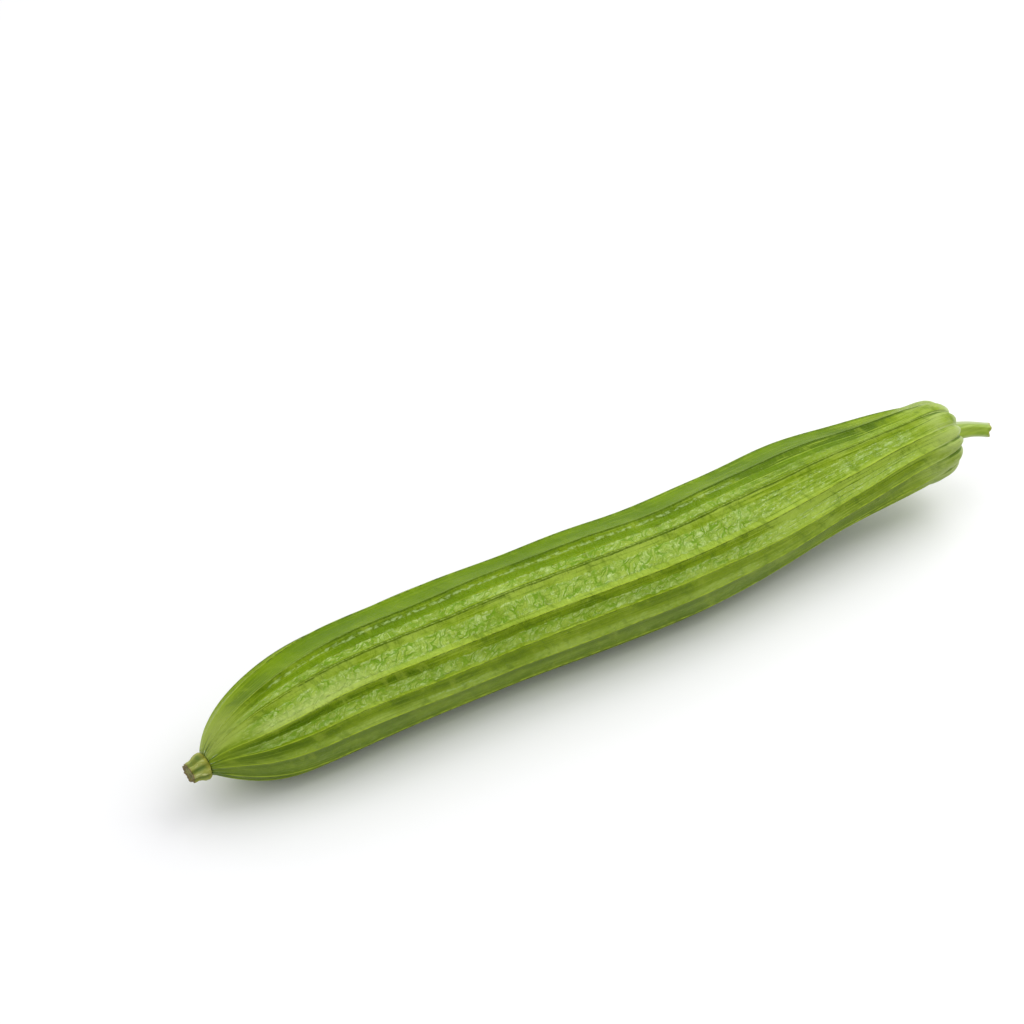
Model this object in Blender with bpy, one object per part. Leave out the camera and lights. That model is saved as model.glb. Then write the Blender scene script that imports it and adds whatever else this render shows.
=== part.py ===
# A long ribbed gourd, picked, lying on its underside: the fruit, its cut stalk and the dried
# remains of the flower. Metres, +Z up, +X towards the stalk. The origin is on the resting
# plane, under the middle of the whole thing's box.
import math

import bmesh
import bpy
from mathutils import Vector

# The fruit
FRUIT_LENGTH = 0.3680
BELLY_RADIUS = 0.0260
BELLY_PLACE = 0.50          # shares of the length, counted from the blossom end, from here on
BLOSSOM_SLIMMING = 0.038    # how much thinner the body is by the blossom end
BLOSSOM_SLIMMING_POWER = 1.5
STALK_SLIMMING = 0.560      # how much thinner it would be at the end of its taper
TAPER_FROM = 0.62
TAPER_TO = 1.25
NECK_RADIUS = 0.0048        # where the flower remains sit
NOSE_SHARE = 0.28           # the neck swells to the body over this share
NOSE_BLUNTNESS = 5.3
NOSE_ROUNDNESS = 0.98
NOSE_SKEW = 0.16            # the upper side of the nose reaches further than the lower
NOSE_SKEW_SHARE = 0.10
SHOULDER_LENGTH = 0.016     # rounding beside the stalk
SHOULDER_FULLNESS = 0.7
DIMPLE_RADIUS = 0.0068      # rim of the hollow that the stalk stands in
DIMPLE_FLOOR_RADIUS = 0.0053
DIMPLE_DEPTH = 0.0014
SHOULDER_SKEW = 0.10        # here too the upper side reaches further
SHOULDER_FROM = 0.84        # the skew and the last of the twist come on from here

# How it lies: on two ribs along the belly, with both ends clear of the resting plane
REST_DEPTH = 0.00045        # how deep the resting ribs are cut
NECK_RISE = 0.0149
NECK_RISE_SHARE = 0.14
NECK_RISE_POWER = 3
STALK_RISE = 0.0142
STALK_RISE_FROM = 0.67
STALK_RISE_EASE = 0.07      # half the share over which it starts to rise

# How it sways, seen from above: share of the length and metres sideways
SWAY = ((0.00, -0.0076), (0.16, -0.0016), (0.36, 0.0004), (0.58, -0.0014), (0.80, 0.0042), (1.00, 0.0022))

# Ribs run from end to end, not quite evenly spaced; angles in degrees
RIB_COUNT = 14
RIB_CROWDING = 4.5          # closer together on the near lower side
RIB_SHIFTS = (0.0, 0.0, -1.5, -3.2, -0.5, -3.7, -0.5, -1.5, 1.5, -1.0, 2.0, -1.5, 1.0, 0.0)
RIB_WANDER = 0.7
RIB_WANDER_WAVE = 9.0       # radians from end to end
RIB_WANDER_LAG = 2.4        # radians from rib to rib
TWIST = 7.0                 # from one end to the other
SHOULDER_TWIST = 9.0        # more of it by the shoulder
# On the near side they also sag and rise again: share of the length and degrees
RIB_SAG = (
    (0.00, 18.0), (0.05, 5.5), (0.16, 0.5), (0.32, -4.5),
    (0.60, -5.0), (0.77, -9.5), (0.90, -1.5), (1.00, 0.0),
)
CREST_HEIGHT = 0.0007
CREST_HALF_WIDTH = 0.10     # share of the way to the next rib
PANEL_HOLLOW = 0.0011       # how far the panels sink between the ribs
NECK_HOLLOW = 0.25          # share of it left at the neck
FULL_RELIEF_SHARE = 0.12    # where the ribs reach their full height
LOBE_SWELL = 0.0014         # how far they swell again by the shoulder
LOBE_LENGTH = 0.030
UNEVENNESS = 0.00025
UNEVEN_WAVES = ((41.0, 2.0, 0.0), (23.0, -3.0, 1.0))    # radians along, turns round, start
FADE_RADIUS = 0.012         # all relief dies away where the fruit is thinner than this

# The cut stalk
STALK_LENGTH = 0.0215
STALK_BASE_RADIUS = 0.0047
STALK_WAIST_RADIUS = 0.0037
STALK_TIP_RADIUS = 0.0033
STALK_FLARE_POWER = 4
STALK_FLUTES = 5
STALK_FLUTE_DEPTH = 0.10    # share of the radius
STALK_DROOP = 20.0          # degrees down at the cut
STALK_SWING = 19.0          # degrees sideways at the cut

# The dried flower remains
STUB_LENGTH = 0.0076
STUB_BASE_RADIUS = 0.0043
STUB_BULGE_RADIUS = 0.0053
STUB_BULGE_PLACE = 0.25     # share of the stub's length
STUB_TIP_RADIUS = 0.0038
STUB_FLUTES = 7
STUB_FLUTE_DEPTH = 0.13
STUB_DROOP = 6.0
STUB_SWING = 4.0
PITH_DEPTH = 0.0009         # the cut face is sunk inside its rim
PITH_RIM = 0.80             # shares of the tip's radius
PITH_RADIUS = 0.62

# Fineness of the meshes
BODY_RINGS = 50
RING_CROWDING = 0.55        # 0 spaces the rings evenly, 1 crowds them most at both ends
SHOULDER_RINGS = 7
PANEL_COLUMNS = (0.0, CREST_HALF_WIDTH, 0.36, 0.64, 1.0 - CREST_HALF_WIDTH)
STALK_SIDES = 20
STUB_SIDES = 28
SPUR_RINGS = 8
SHARP_ANGLE = 50.0

GAP = 0.0003                # between pieces that touch


def ease(value):
    """Goes smoothly from 0 to 1 as value does."""
    value = min(max(value, 0.0), 1.0)
    return value * value * (3.0 - 2.0 * value)


def ramp(value, half_width):
    """Zero below nothing and value above it, bending smoothly between."""
    if value > half_width:
        return value
    return max(0.0, value + half_width) ** 2 / (4.0 * half_width)


def body_radius(share):
    """Radius over the rib crests, without the rounding beside the stalk."""
    swell = 1.0 - (1.0 - min(share / NOSE_SHARE, 1.0)) ** NOSE_BLUNTNESS
    nose = NECK_RADIUS / BELLY_RADIUS
    nose += (1.0 - nose) * swell ** NOSE_ROUNDNESS
    if share < BELLY_PLACE:
        slimming = BLOSSOM_SLIMMING * (1.0 - share / BELLY_PLACE) ** BLOSSOM_SLIMMING_POWER
    else:
        slimming = STALK_SLIMMING * ease((share - TAPER_FROM) / (TAPER_TO - TAPER_FROM))
    return BELLY_RADIUS * nose * (1.0 - slimming)


def fruit_profile():
    """Points (along, radius) from the neck round the shoulder to the floor of the dimple."""
    points = []
    body_length = FRUIT_LENGTH - SHOULDER_LENGTH
    for ring in range(BODY_RINGS):
        even = ring / BODY_RINGS
        crowded = 0.5 * (1.0 - math.cos(math.pi * even))
        along = body_length * (even + RING_CROWDING * (crowded - even))
        points.append((along, body_radius(along / FRUIT_LENGTH)))
    shoulder_radius = body_radius(body_length / FRUIT_LENGTH)
    for ring in range(SHOULDER_RINGS + 1):
        turn = 0.5 * math.pi * ring / SHOULDER_RINGS
        along = body_length + SHOULDER_LENGTH * math.sin(turn)
        radius = DIMPLE_RADIUS + (shoulder_radius - DIMPLE_RADIUS) * math.cos(turn) ** SHOULDER_FULLNESS
        points.append((along, radius))
    points.append((FRUIT_LENGTH - DIMPLE_DEPTH, DIMPLE_FLOOR_RADIUS))
    return points


def through(points, share):
    """Height at this share of the length of a smooth curve through the points."""
    span = 0
    while span < len(points) - 2 and share > points[span + 1][0]:
        span += 1
    slopes = []
    for point in (span, span + 1):
        before, after = points[max(point - 1, 0)], points[min(point + 1, len(points) - 1)]
        slopes.append((after[1] - before[1]) / (after[0] - before[0]))
    (start, low), (end, high) = points[span], points[span + 1]
    width = end - start
    t = (share - start) / width
    blend = 3.0 * t ** 2 - 2.0 * t ** 3
    bow = width * (slopes[0] * t * (1.0 - t) ** 2 - slopes[1] * t ** 2 * (1.0 - t))
    return low + (high - low) * blend + bow


def centre_line(along):
    """Point of the fruit's centre line: as high over the resting plane as its ribs are deep."""
    share = min(max(along / FRUIT_LENGTH, 0.0), 1.0)
    height = body_radius(share) * math.cos(math.pi / RIB_COUNT) - REST_DEPTH
    height += NECK_RISE * max(0.0, 1.0 - share / NECK_RISE_SHARE) ** NECK_RISE_POWER
    height += STALK_RISE * ramp(share - STALK_RISE_FROM, STALK_RISE_EASE) / (1.0 - STALK_RISE_FROM)
    return Vector((along, through(SWAY, share), height))


def centre_frame(along):
    """Centre, direction, sideways and upward vectors of the fruit at this place."""
    step = 0.001
    direction = (centre_line(along + step) - centre_line(along - step)).normalized()
    sideways = Vector((0.0, 0.0, 1.0)).cross(direction).normalized()
    return centre_line(along), direction, sideways, direction.cross(sideways)


def by_shoulder(along):
    """0 along the body, rising to 1 at the stalk's end."""
    return ease((along / FRUIT_LENGTH - SHOULDER_FROM) / (1.0 - SHOULDER_FROM))


def rib_angle(rib, along):
    """Angle of a rib from straight down towards -Y, in radians."""
    share = along / FRUIT_LENGTH
    turn = 2.0 * math.pi * (rib + 0.5) / RIB_COUNT
    degrees = RIB_SHIFTS[rib % RIB_COUNT] - RIB_CROWDING * (1.0 - math.cos(turn))
    degrees += RIB_WANDER * math.sin(RIB_WANDER_WAVE * share + RIB_WANDER_LAG * (rib % RIB_COUNT))
    degrees += TWIST * (share - 0.5) + SHOULDER_TWIST * by_shoulder(along)
    degrees += through(RIB_SAG, share) * max(0.0, math.sin(turn - math.pi / RIB_COUNT))
    return turn + math.radians(degrees)


def relief(along, across):
    """Height over the crests' circle; across is 0 on a rib and 1 on the next one."""
    from_stalk = ease((FRUIT_LENGTH - along) / LOBE_LENGTH)
    from_blossom = ease(along / FRUIT_LENGTH / FULL_RELIEF_SHARE)
    hollow = PANEL_HOLLOW * (NECK_HOLLOW + (1.0 - NECK_HOLLOW) * from_blossom)
    panel = 1.0 - (2.0 * across - 1.0) ** 2
    height = -panel * (hollow * from_stalk - LOBE_SWELL * (1.0 - from_stalk))
    on_crest = max(0.0, 1.0 - min(across, 1.0 - across) / CREST_HALF_WIDTH)
    height += (on_crest - 1.0) * CREST_HEIGHT * from_stalk * from_blossom
    return height


def unevenness(along, angle):
    """Slow swelling and sinking of the skin, none of it underneath."""
    swelling = 0.0
    for wave, turns, start in UNEVEN_WAVES:
        swelling += math.sin(wave * along / FRUIT_LENGTH + turns * angle + start)
    return UNEVENNESS * 0.5 * (1.0 - math.cos(angle)) * swelling


def skew(along, radius, angle):
    """How far this point stays back towards the blossom end because neither end is square."""
    shoulder = SHOULDER_SKEW * by_shoulder(along) * max(0.0, radius - DIMPLE_RADIUS)
    nose = NOSE_SKEW * (1.0 - ease(along / FRUIT_LENGTH / NOSE_SKEW_SHARE)) * (radius - NECK_RADIUS)
    return (shoulder - nose) * math.cos(angle)


def turned(profile, columns):
    """Turns a line of points (along, radius) about X; each vertex remembers its ring."""
    mesh = bmesh.new()
    ring_of = mesh.verts.layers.int.new("ring")
    outline = []
    for ring, (along, radius) in enumerate(profile):
        vertex = mesh.verts.new((along, 0.0, -radius))
        vertex[ring_of] = ring
        outline.append(vertex)
    edges = [mesh.edges.new(pair) for pair in zip(outline, outline[1:])]
    bmesh.ops.spin(
        mesh, geom=outline + edges, cent=(0.0, 0.0, 0.0), axis=(1.0, 0.0, 0.0),
        angle=2.0 * math.pi, steps=columns, use_merge=True,
    )
    return mesh, ring_of


def angle_from_down(point):
    """Angle about X from straight down towards -Y, in radians."""
    return math.atan2(-point.y, -point.z) % (2.0 * math.pi)


def close_ends(mesh):
    """Fills every open ring with a flat face."""
    bmesh.ops.holes_fill(mesh, edges=[edge for edge in mesh.edges if edge.is_boundary])


def make_fruit():
    """Turns the profile about X, then bends it, raises the ribs and flattens the resting spot."""
    profile = fruit_profile()
    columns = RIB_COUNT * len(PANEL_COLUMNS)
    mesh, ring_of = turned(profile, columns)
    for vertex in mesh.verts:
        ring = vertex[ring_of]
        along, radius = profile[ring]
        column = round(angle_from_down(vertex.co) / (2.0 * math.pi) * columns) % columns
        rib, place = divmod(column, len(PANEL_COLUMNS))
        across = PANEL_COLUMNS[place]
        here, following = rib_angle(rib, along), rib_angle(rib + 1, along)
        angle = here + across * (following - here)
        before, after = profile[max(ring - 1, 0)], profile[min(ring + 1, len(profile) - 1)]
        slope = Vector((after[0] - before[0], after[1] - before[1])).normalized()
        height = relief(along, across) + unevenness(along, angle)
        height *= min(1.0, (radius / FADE_RADIUS) ** 2)
        along -= slope.y * height + skew(along, radius, angle)
        radius += slope.x * height
        centre, direction, sideways, upward = centre_frame(along)
        vertex.co = centre - radius * (math.cos(angle) * upward + math.sin(angle) * sideways)
    close_ends(mesh)
    bmesh.ops.bisect_plane(
        mesh, geom=mesh.verts[:] + mesh.edges[:] + mesh.faces[:], dist=0.000001,
        plane_co=(0.0, 0.0, 0.0), plane_no=(0.0, 0.0, -1.0), clear_outer=True,
    )
    close_ends(mesh)
    return finish("fruit", mesh, (0.20, 0.33, 0.045), 0.42)


def bend(mesh, ring_of, profile, start, headings, flutes, depth, droop, swing):
    """Lays a turned piece from start along headings[0], fluted, drooping and swinging aside."""
    ahead, sideways, upward = headings
    length = max(along for along, _ in profile)
    for vertex in mesh.verts:
        along, radius = profile[vertex[ring_of]]
        share = along / length
        angle = angle_from_down(vertex.co)
        radius *= 1.0 + depth * math.cos(flutes * angle)
        fall, aside = math.tan(math.radians(droop)), math.tan(math.radians(swing))
        heading = (ahead - fall * share * upward - aside * share * sideways).normalized()
        across = upward.cross(heading).normalized()
        over = heading.cross(across)
        centre = start + along * (ahead - 0.5 * share * (fall * upward + aside * sideways))
        vertex.co = centre - radius * (math.cos(angle) * over + math.sin(angle) * across)


def make_stalk():
    """The cut stalk: flared where it leaves the fruit, five-sided, bent down and to the side."""
    profile = []
    for ring in range(SPUR_RINGS + 1):
        share = ring / SPUR_RINGS
        flare = (STALK_BASE_RADIUS - STALK_WAIST_RADIUS) * (1.0 - share) ** STALK_FLARE_POWER
        radius = STALK_WAIST_RADIUS + flare - (STALK_WAIST_RADIUS - STALK_TIP_RADIUS) * share
        profile.append((STALK_LENGTH * share, radius))
    mesh, ring_of = turned(profile, STALK_SIDES)
    centre, direction, sideways, upward = centre_frame(FRUIT_LENGTH - DIMPLE_DEPTH)
    start = centre + GAP * direction
    bend(
        mesh, ring_of, profile, start, (direction, sideways, upward),
        STALK_FLUTES, STALK_FLUTE_DEPTH, STALK_DROOP, STALK_SWING,
    )
    close_ends(mesh)
    return finish("stalk", mesh, (0.36, 0.48, 0.10), 0.55)


def make_flower_remains():
    """The dried flower remains: a short fluted stub whose cut face is sunk inside its rim."""
    profile = []
    for ring in range(SPUR_RINGS + 1):
        share = ring / SPUR_RINGS
        past_bulge = min(share - STUB_BULGE_PLACE, 0.5)
        bulge = (STUB_BULGE_RADIUS - STUB_BASE_RADIUS) * math.cos(math.pi * past_bulge) ** 2
        radius = STUB_BASE_RADIUS + (STUB_TIP_RADIUS - STUB_BASE_RADIUS) * share + bulge
        profile.append((STUB_LENGTH * share, radius))
    profile.append((STUB_LENGTH, STUB_TIP_RADIUS * PITH_RIM))
    profile.append((STUB_LENGTH - PITH_DEPTH, STUB_TIP_RADIUS * PITH_RADIUS))
    mesh, ring_of = turned(profile, STUB_SIDES)
    centre, direction, sideways, upward = centre_frame(0.0)
    start = centre - GAP * direction
    bend(
        mesh, ring_of, profile, start, (-direction, -sideways, upward),
        STUB_FLUTES, STUB_FLUTE_DEPTH, STUB_DROOP, STUB_SWING,
    )
    close_ends(mesh)
    return finish("flower_remains", mesh, (0.30, 0.30, 0.07), 0.7)


def finish(name, mesh, colour, roughness):
    """Makes the object: faces pointing out, shaded smooth, with its own material."""
    bmesh.ops.recalc_face_normals(mesh, faces=mesh.faces[:])
    data = bpy.data.meshes.new(name)
    mesh.to_mesh(data)
    mesh.free()
    data.shade_smooth()
    data.set_sharp_from_angle(angle=math.radians(SHARP_ANGLE))
    material = bpy.data.materials.new(name)
    material.use_nodes = True
    shader = material.node_tree.nodes["Principled BSDF"]
    shader.inputs["Base Color"].default_value = (*colour, 1.0)
    shader.inputs["Roughness"].default_value = roughness
    shader.inputs["Metallic"].default_value = 0.0
    data.materials.append(material)
    piece = bpy.data.objects.new(name, data)
    bpy.context.scene.collection.objects.link(piece)
    return piece


def centre_on_origin(pieces):
    """Slides the pieces along the resting plane until their box is centred over the origin."""
    corners = [vertex.co for piece in pieces for vertex in piece.data.vertices]
    middle_x = 0.5 * (min(corner.x for corner in corners) + max(corner.x for corner in corners))
    middle_y = 0.5 * (min(corner.y for corner in corners) + max(corner.y for corner in corners))
    for piece in pieces:
        piece.location = (-middle_x, -middle_y, 0.0)


for leftover in list(bpy.data.objects):
    bpy.data.objects.remove(leftover)
centre_on_origin([make_fruit(), make_stalk(), make_flower_remains()])
bpy.context.view_layer.update()
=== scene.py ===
import math

import bmesh
import bpy
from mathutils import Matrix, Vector
from mathutils.noise import noise


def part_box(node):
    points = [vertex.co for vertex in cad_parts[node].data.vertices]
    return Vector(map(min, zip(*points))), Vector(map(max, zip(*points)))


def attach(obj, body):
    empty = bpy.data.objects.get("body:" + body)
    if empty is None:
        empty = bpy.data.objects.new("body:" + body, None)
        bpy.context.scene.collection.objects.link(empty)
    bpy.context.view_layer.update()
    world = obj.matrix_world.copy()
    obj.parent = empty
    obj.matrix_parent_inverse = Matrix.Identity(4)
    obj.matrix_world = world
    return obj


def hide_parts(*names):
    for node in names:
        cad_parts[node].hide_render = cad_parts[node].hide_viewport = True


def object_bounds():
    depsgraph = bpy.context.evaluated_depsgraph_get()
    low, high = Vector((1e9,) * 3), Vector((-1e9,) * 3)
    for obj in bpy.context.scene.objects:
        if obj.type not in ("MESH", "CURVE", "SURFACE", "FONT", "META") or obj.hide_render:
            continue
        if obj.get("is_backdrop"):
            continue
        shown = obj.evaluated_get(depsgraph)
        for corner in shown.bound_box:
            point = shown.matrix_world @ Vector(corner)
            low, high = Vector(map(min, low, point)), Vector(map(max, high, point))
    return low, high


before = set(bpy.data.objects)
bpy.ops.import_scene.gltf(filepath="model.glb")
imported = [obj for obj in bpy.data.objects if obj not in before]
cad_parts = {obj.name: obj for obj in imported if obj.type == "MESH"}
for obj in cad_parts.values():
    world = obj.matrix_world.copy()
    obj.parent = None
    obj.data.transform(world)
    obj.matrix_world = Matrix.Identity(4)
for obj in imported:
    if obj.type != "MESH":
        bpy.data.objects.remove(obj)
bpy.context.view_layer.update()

# The fruit, grown in one piece: a tough waxy skin over watery flesh. It hangs from its stalk,
# blunt at that end, and narrows to a neck at the other. Ribs run from end to end; the skin
# between them sinks in and is puckered into short wrinkles just above each rib.

# Lengths are in metres, shares are parts of the fruit's length, and the ribs' shifts, their
# wander, sag and twist are in degrees
FRUIT_LENGTH = 0.3680
BELLY_RADIUS = 0.0260
BELLY_PLACE = 0.50
BLOSSOM_SLIMMING = 0.038
BLOSSOM_SLIMMING_POWER = 1.5
STALK_SLIMMING = 0.560
TAPER_FROM = 0.62
TAPER_TO = 1.25
NECK_RADIUS = 0.0048
NOSE_SHARE = 0.28
NOSE_BLUNTNESS = 5.3
NOSE_ROUNDNESS = 0.98
NOSE_SKEW = 0.16
NOSE_SKEW_SHARE = 0.10
SHOULDER_LENGTH = 0.016
SHOULDER_FULLNESS = 0.7
DIMPLE_RADIUS = 0.0068
DIMPLE_FLOOR_RADIUS = 0.0053
DIMPLE_DEPTH = 0.0014
DIMPLE_STEPS = (0.35, 0.7, 1.0)
DIMPLE_POWER = 1.5
SHOULDER_SKEW = 0.10
SHOULDER_FROM = 0.84
REST_DEPTH = 0.00045
NECK_RISE = 0.0149
NECK_RISE_SHARE = 0.14
NECK_RISE_POWER = 3
STALK_RISE = 0.0142
STALK_RISE_FROM = 0.67
STALK_RISE_EASE = 0.07
SWAY = (
    (0.00, -0.0076), (0.16, -0.0016), (0.36, 0.0004),
    (0.58, -0.0014), (0.80, 0.0042), (1.00, 0.0022),
)
RIB_COUNT = 14
RIB_CROWDING = 4.5
RIB_SHIFTS = (0.0, 0.0, -1.5, 3.0, -0.5, -3.7, -0.5, -1.5, 1.5, -1.0, 2.0, -1.5, 1.0, 0.0)
RIB_WANDER = 0.7
RIB_WANDER_WAVE = 9.0
RIB_WANDER_LAG = 2.4
TWIST = 7.0
SHOULDER_TWIST = 9.0
RIB_SAG = (
    (0.00, 18.0), (0.05, 5.5), (0.16, 0.5), (0.32, -4.5),
    (0.60, -5.0), (0.77, -9.5), (0.90, -1.5), (1.00, 0.0),
)
CREST_HEIGHT = 0.0007
CREST_WIDTH = 0.075
PANEL_HOLLOW = 0.0011
NECK_HOLLOW = 0.25
NECK_CREST = 0.6
FULL_RELIEF_SHARE = 0.12
LOBE_SWELL = 0.0014
LOBE_LENGTH = 0.030
UNEVENNESS = 0.00025
# Each wave's radians from end to end, its turns round the fruit and its start in radians
UNEVEN_WAVES = ((41.0, 2.0, 0.0), (23.0, -3.0, 1.0))
FADE_RADIUS = 0.012
BODY_RINGS = 650
RING_CROWDING = 0.35
SHOULDER_RINGS = 42
PANEL_COLUMNS = (0.0, 0.05, 0.12, 0.23, 0.35, 0.47, 0.60, 0.73, 0.86, 0.95)
CENTIMETRES = 100.0


def ease(value):
    """Goes smoothly from 0 to 1 as value does."""
    value = min(max(value, 0.0), 1.0)
    return value * value * (3.0 - 2.0 * value)


def rise(value, start, width):
    """0 up to the start, rising smoothly to 1 over the width."""
    return ease((value - start) / width)


def ramp(value, half_width):
    """Zero below nothing and value above it, bending smoothly between."""
    if value > half_width:
        return value
    return max(0.0, value + half_width) ** 2 / (4.0 * half_width)


def bump_at(value, place, width):
    """1 at the place, dying away over the width on both sides."""
    return math.exp(-(((value - place) / width) ** 2))


def through(points, share):
    """Height at this share of the length of a smooth curve through the points."""
    span = 0
    while span < len(points) - 2 and share > points[span + 1][0]:
        span += 1
    slopes = []
    for point in (span, span + 1):
        before, after = points[max(point - 1, 0)], points[min(point + 1, len(points) - 1)]
        slopes.append((after[1] - before[1]) / (after[0] - before[0]))
    (start, low), (end, high) = points[span], points[span + 1]
    width = end - start
    t = (share - start) / width
    blend = 3.0 * t ** 2 - 2.0 * t ** 3
    bow = width * (slopes[0] * t * (1.0 - t) ** 2 - slopes[1] * t ** 2 * (1.0 - t))
    return low + (high - low) * blend + bow


def body_radius(share):
    """Radius over the rib crests, without the rounding beside the stalk."""
    swell = 1.0 - (1.0 - min(share / NOSE_SHARE, 1.0)) ** NOSE_BLUNTNESS
    nose = NECK_RADIUS / BELLY_RADIUS
    nose += (1.0 - nose) * swell ** NOSE_ROUNDNESS
    if share < BELLY_PLACE:
        slimming = BLOSSOM_SLIMMING * (1.0 - share / BELLY_PLACE) ** BLOSSOM_SLIMMING_POWER
    else:
        slimming = STALK_SLIMMING * rise(share, TAPER_FROM, TAPER_TO - TAPER_FROM)
    return BELLY_RADIUS * nose * (1.0 - slimming)


def fruit_profile():
    """Points (along, radius) from the neck round the shoulder to the floor of the dimple."""
    points = []
    body_length = FRUIT_LENGTH - SHOULDER_LENGTH
    for ring in range(BODY_RINGS):
        even = ring / BODY_RINGS
        crowded = 0.5 * (1.0 - math.cos(math.pi * even))
        along = body_length * (even + RING_CROWDING * (crowded - even))
        points.append((along, body_radius(along / FRUIT_LENGTH)))
    shoulder_radius = body_radius(body_length / FRUIT_LENGTH)
    for ring in range(SHOULDER_RINGS + 1):
        turn = 0.5 * math.pi * ring / SHOULDER_RINGS
        along = body_length + SHOULDER_LENGTH * math.sin(turn)
        outside = (shoulder_radius - DIMPLE_RADIUS) * math.cos(turn) ** SHOULDER_FULLNESS
        points.append((along, DIMPLE_RADIUS + outside))
    for step in DIMPLE_STEPS:
        radius = DIMPLE_RADIUS + (DIMPLE_FLOOR_RADIUS - DIMPLE_RADIUS) * step
        points.append((FRUIT_LENGTH - DIMPLE_DEPTH * step ** DIMPLE_POWER, radius))
    return points


def centre_line(along):
    """Point of the fruit's centre line: as high over the resting plane as its ribs are deep."""
    share = min(max(along / FRUIT_LENGTH, 0.0), 1.0)
    height = body_radius(share) * math.cos(math.pi / RIB_COUNT) - REST_DEPTH
    height += NECK_RISE * max(0.0, 1.0 - share / NECK_RISE_SHARE) ** NECK_RISE_POWER
    past_rise = ramp(share - STALK_RISE_FROM, STALK_RISE_EASE)
    height += STALK_RISE * past_rise / (1.0 - STALK_RISE_FROM)
    return Vector((along, through(SWAY, share), height))


def centre_frame(along):
    """Centre, direction, sideways and upward vectors of the fruit at this place."""
    step = 0.001
    direction = (centre_line(along + step) - centre_line(along - step)).normalized()
    sideways = Vector((0.0, 0.0, 1.0)).cross(direction).normalized()
    return centre_line(along), direction, sideways, direction.cross(sideways)


def by_shoulder(along):
    """0 along the body, rising to 1 at the stalk's end."""
    return rise(along / FRUIT_LENGTH, SHOULDER_FROM, 1.0 - SHOULDER_FROM)


def rib_angle(rib, along):
    """Angle of a rib from straight down towards -Y, in radians."""
    share = along / FRUIT_LENGTH
    turn = 2.0 * math.pi * (rib + 0.5) / RIB_COUNT
    degrees = RIB_SHIFTS[rib % RIB_COUNT] - RIB_CROWDING * (1.0 - math.cos(turn))
    degrees += RIB_WANDER * math.sin(RIB_WANDER_WAVE * share + RIB_WANDER_LAG * (rib % RIB_COUNT))
    degrees += TWIST * (share - 0.5) + SHOULDER_TWIST * by_shoulder(along)
    degrees += through(RIB_SAG, share) * max(0.0, math.sin(turn - math.pi / RIB_COUNT))
    return turn + math.radians(degrees)


def skew(along, radius, angle):
    """How far this point stays back towards the blossom end because neither end is square."""
    shoulder = SHOULDER_SKEW * by_shoulder(along) * max(0.0, radius - DIMPLE_RADIUS)
    by_nose = 1.0 - ease(along / FRUIT_LENGTH / NOSE_SKEW_SHARE)
    return (shoulder - NOSE_SKEW * by_nose * (radius - NECK_RADIUS)) * math.cos(angle)


def unevenness(along, angle):
    """Slow swelling and sinking of the skin, none of it underneath."""
    swelling = 0.0
    for wave, turns, start in UNEVEN_WAVES:
        swelling += math.sin(wave * along / FRUIT_LENGTH + turns * angle + start)
    return UNEVENNESS * 0.5 * (1.0 - math.cos(angle)) * swelling


def rib_relief(along, across):
    """Ribs and the hollow panels between them; across is 0 on a rib and 1 on the next one."""
    from_stalk = ease((FRUIT_LENGTH - along) / LOBE_LENGTH)
    from_blossom = ease(along / FRUIT_LENGTH / FULL_RELIEF_SHARE)
    hollow = PANEL_HOLLOW * (NECK_HOLLOW + (1.0 - NECK_HOLLOW) * from_blossom)
    panel = 1.0 - (2.0 * across - 1.0) ** 2
    height = -panel * (hollow * from_stalk - LOBE_SWELL * (1.0 - from_stalk))
    from_rib = min(across, 1.0 - across)
    raised = NECK_CREST + (1.0 - NECK_CREST) * from_blossom
    height += (bump_at(from_rib, 0.0, CREST_WIDTH) - 1.0) * CREST_HEIGHT * from_stalk * raised
    return height


# Relief finer than the ribs. Pairs are a start and a width, or a middle and a half width.
FOLD_DEPTH = 0.00022
FOLD_PITCH = 0.0056
FOLD_WANDER = 1.1
FOLD_WANDER_LENGTH = 0.012
FOLD_LEAN = 0.8
FOLD_ARCH = 0.55
FOLD_EDGE = 0.08
FOLDS_BEGIN = (0.015, 0.055)
FOLDS_WEAKEN = (0.64, 0.10)
FOLDS_LOST = 0.65
FOLDS_END = (0.92, 0.03)
LUMP_HEIGHT = 0.9
LUMP_LENGTH = 0.0033
PATCH_LENGTH = 0.018
DENT_DEPTH = 0.00025
DENT_LENGTH = 0.016
PLEAT_DEPTH = 0.00035
PLEAT_REACH = (0.0035, 0.0032)
CREASE_DEPTH = 0.00045
CREASE_WIDTH = 0.05
CREASE_REACH = (0.006, 0.009)
# Panel by panel, from the one under the fruit round by -Y: how strongly its pale band is
# folded, the middle of that band and half its width, as shares of the panel
FOLDING = (0.15, 0.2, 0.2, 0.25, 0.85, 1.0, 0.9, 0.05, 0.95, 0.8, 0.9, 0.5, 0.3, 0.15)
FOLD_MIDDLE = (0.4, 0.4, 0.3, 0.16, 0.32, 0.45, 0.31, 0.34, 0.42, 0.35, 0.3, 0.4, 0.3, 0.35)
FOLD_HALF = (0.3, 0.3, 0.2, 0.15, 0.23, 0.28, 0.16, 0.20, 0.30, 0.25, 0.22, 0.25, 0.2, 0.3)


def folded(along, panel):
    """How strongly the skin of this panel's band is folded here, from 0 to 1."""
    share = along / FRUIT_LENGTH
    kept = 1.0 - FOLDS_LOST * rise(share, *FOLDS_WEAKEN)
    return FOLDING[panel] * rise(share, *FOLDS_BEGIN) * kept * (1.0 - rise(share, *FOLDS_END))


def inside_band(across, panel):
    """How far inside the panel's pale band this is, in panels; less than 0 outside."""
    return FOLD_HALF[panel] - abs(across - FOLD_MIDDLE[panel])


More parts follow.
